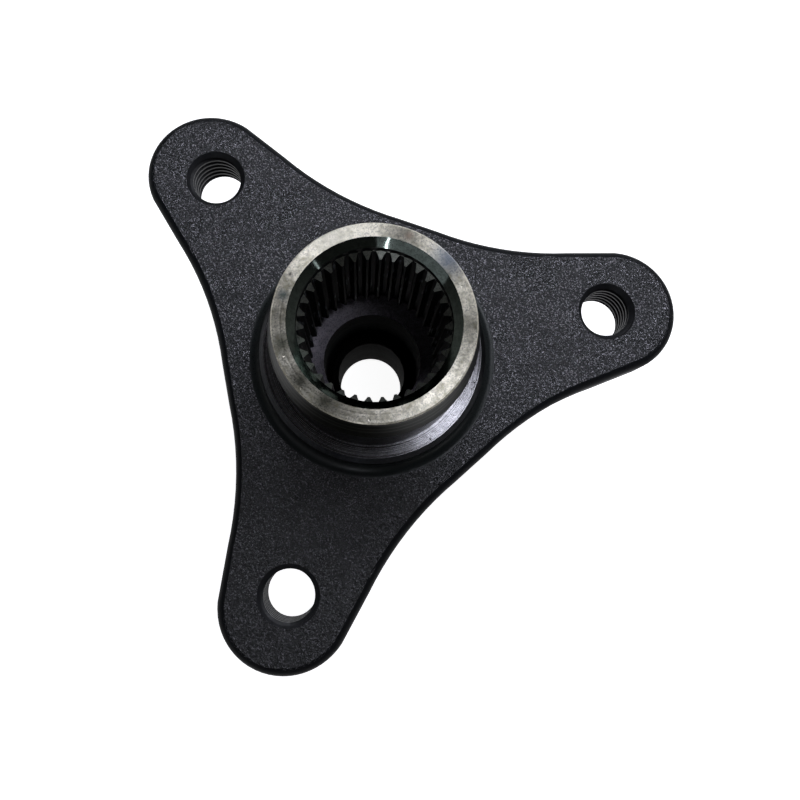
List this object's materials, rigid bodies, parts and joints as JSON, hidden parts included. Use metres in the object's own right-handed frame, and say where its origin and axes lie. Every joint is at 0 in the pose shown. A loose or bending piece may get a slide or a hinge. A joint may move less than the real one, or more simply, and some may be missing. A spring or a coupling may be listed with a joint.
{
  "type": "differential flange",
  "caption": "Forged steel drive flange with radial arms for a flexible coupling, tapped holes, an internally splined hub and a hollow centring spigot.",
  "frame": {"origin": "on the hub's axis, in the plane of the seat pads that the flexible coupling is bolted against", "axes": "+Z along the axis towards the splined hub, +X through the centre of one tapped hole"},
  "size_m": [0.1094, 0.122, 0.0682],
  "materials": {
    "forged_steel": "matte",
    "bush_steel": "satin"
  },
  "bodies": {
    "root": {"flange_forging": "forged_steel", "centring_bush": "bush_steel"}
  },
  "joints": []
}
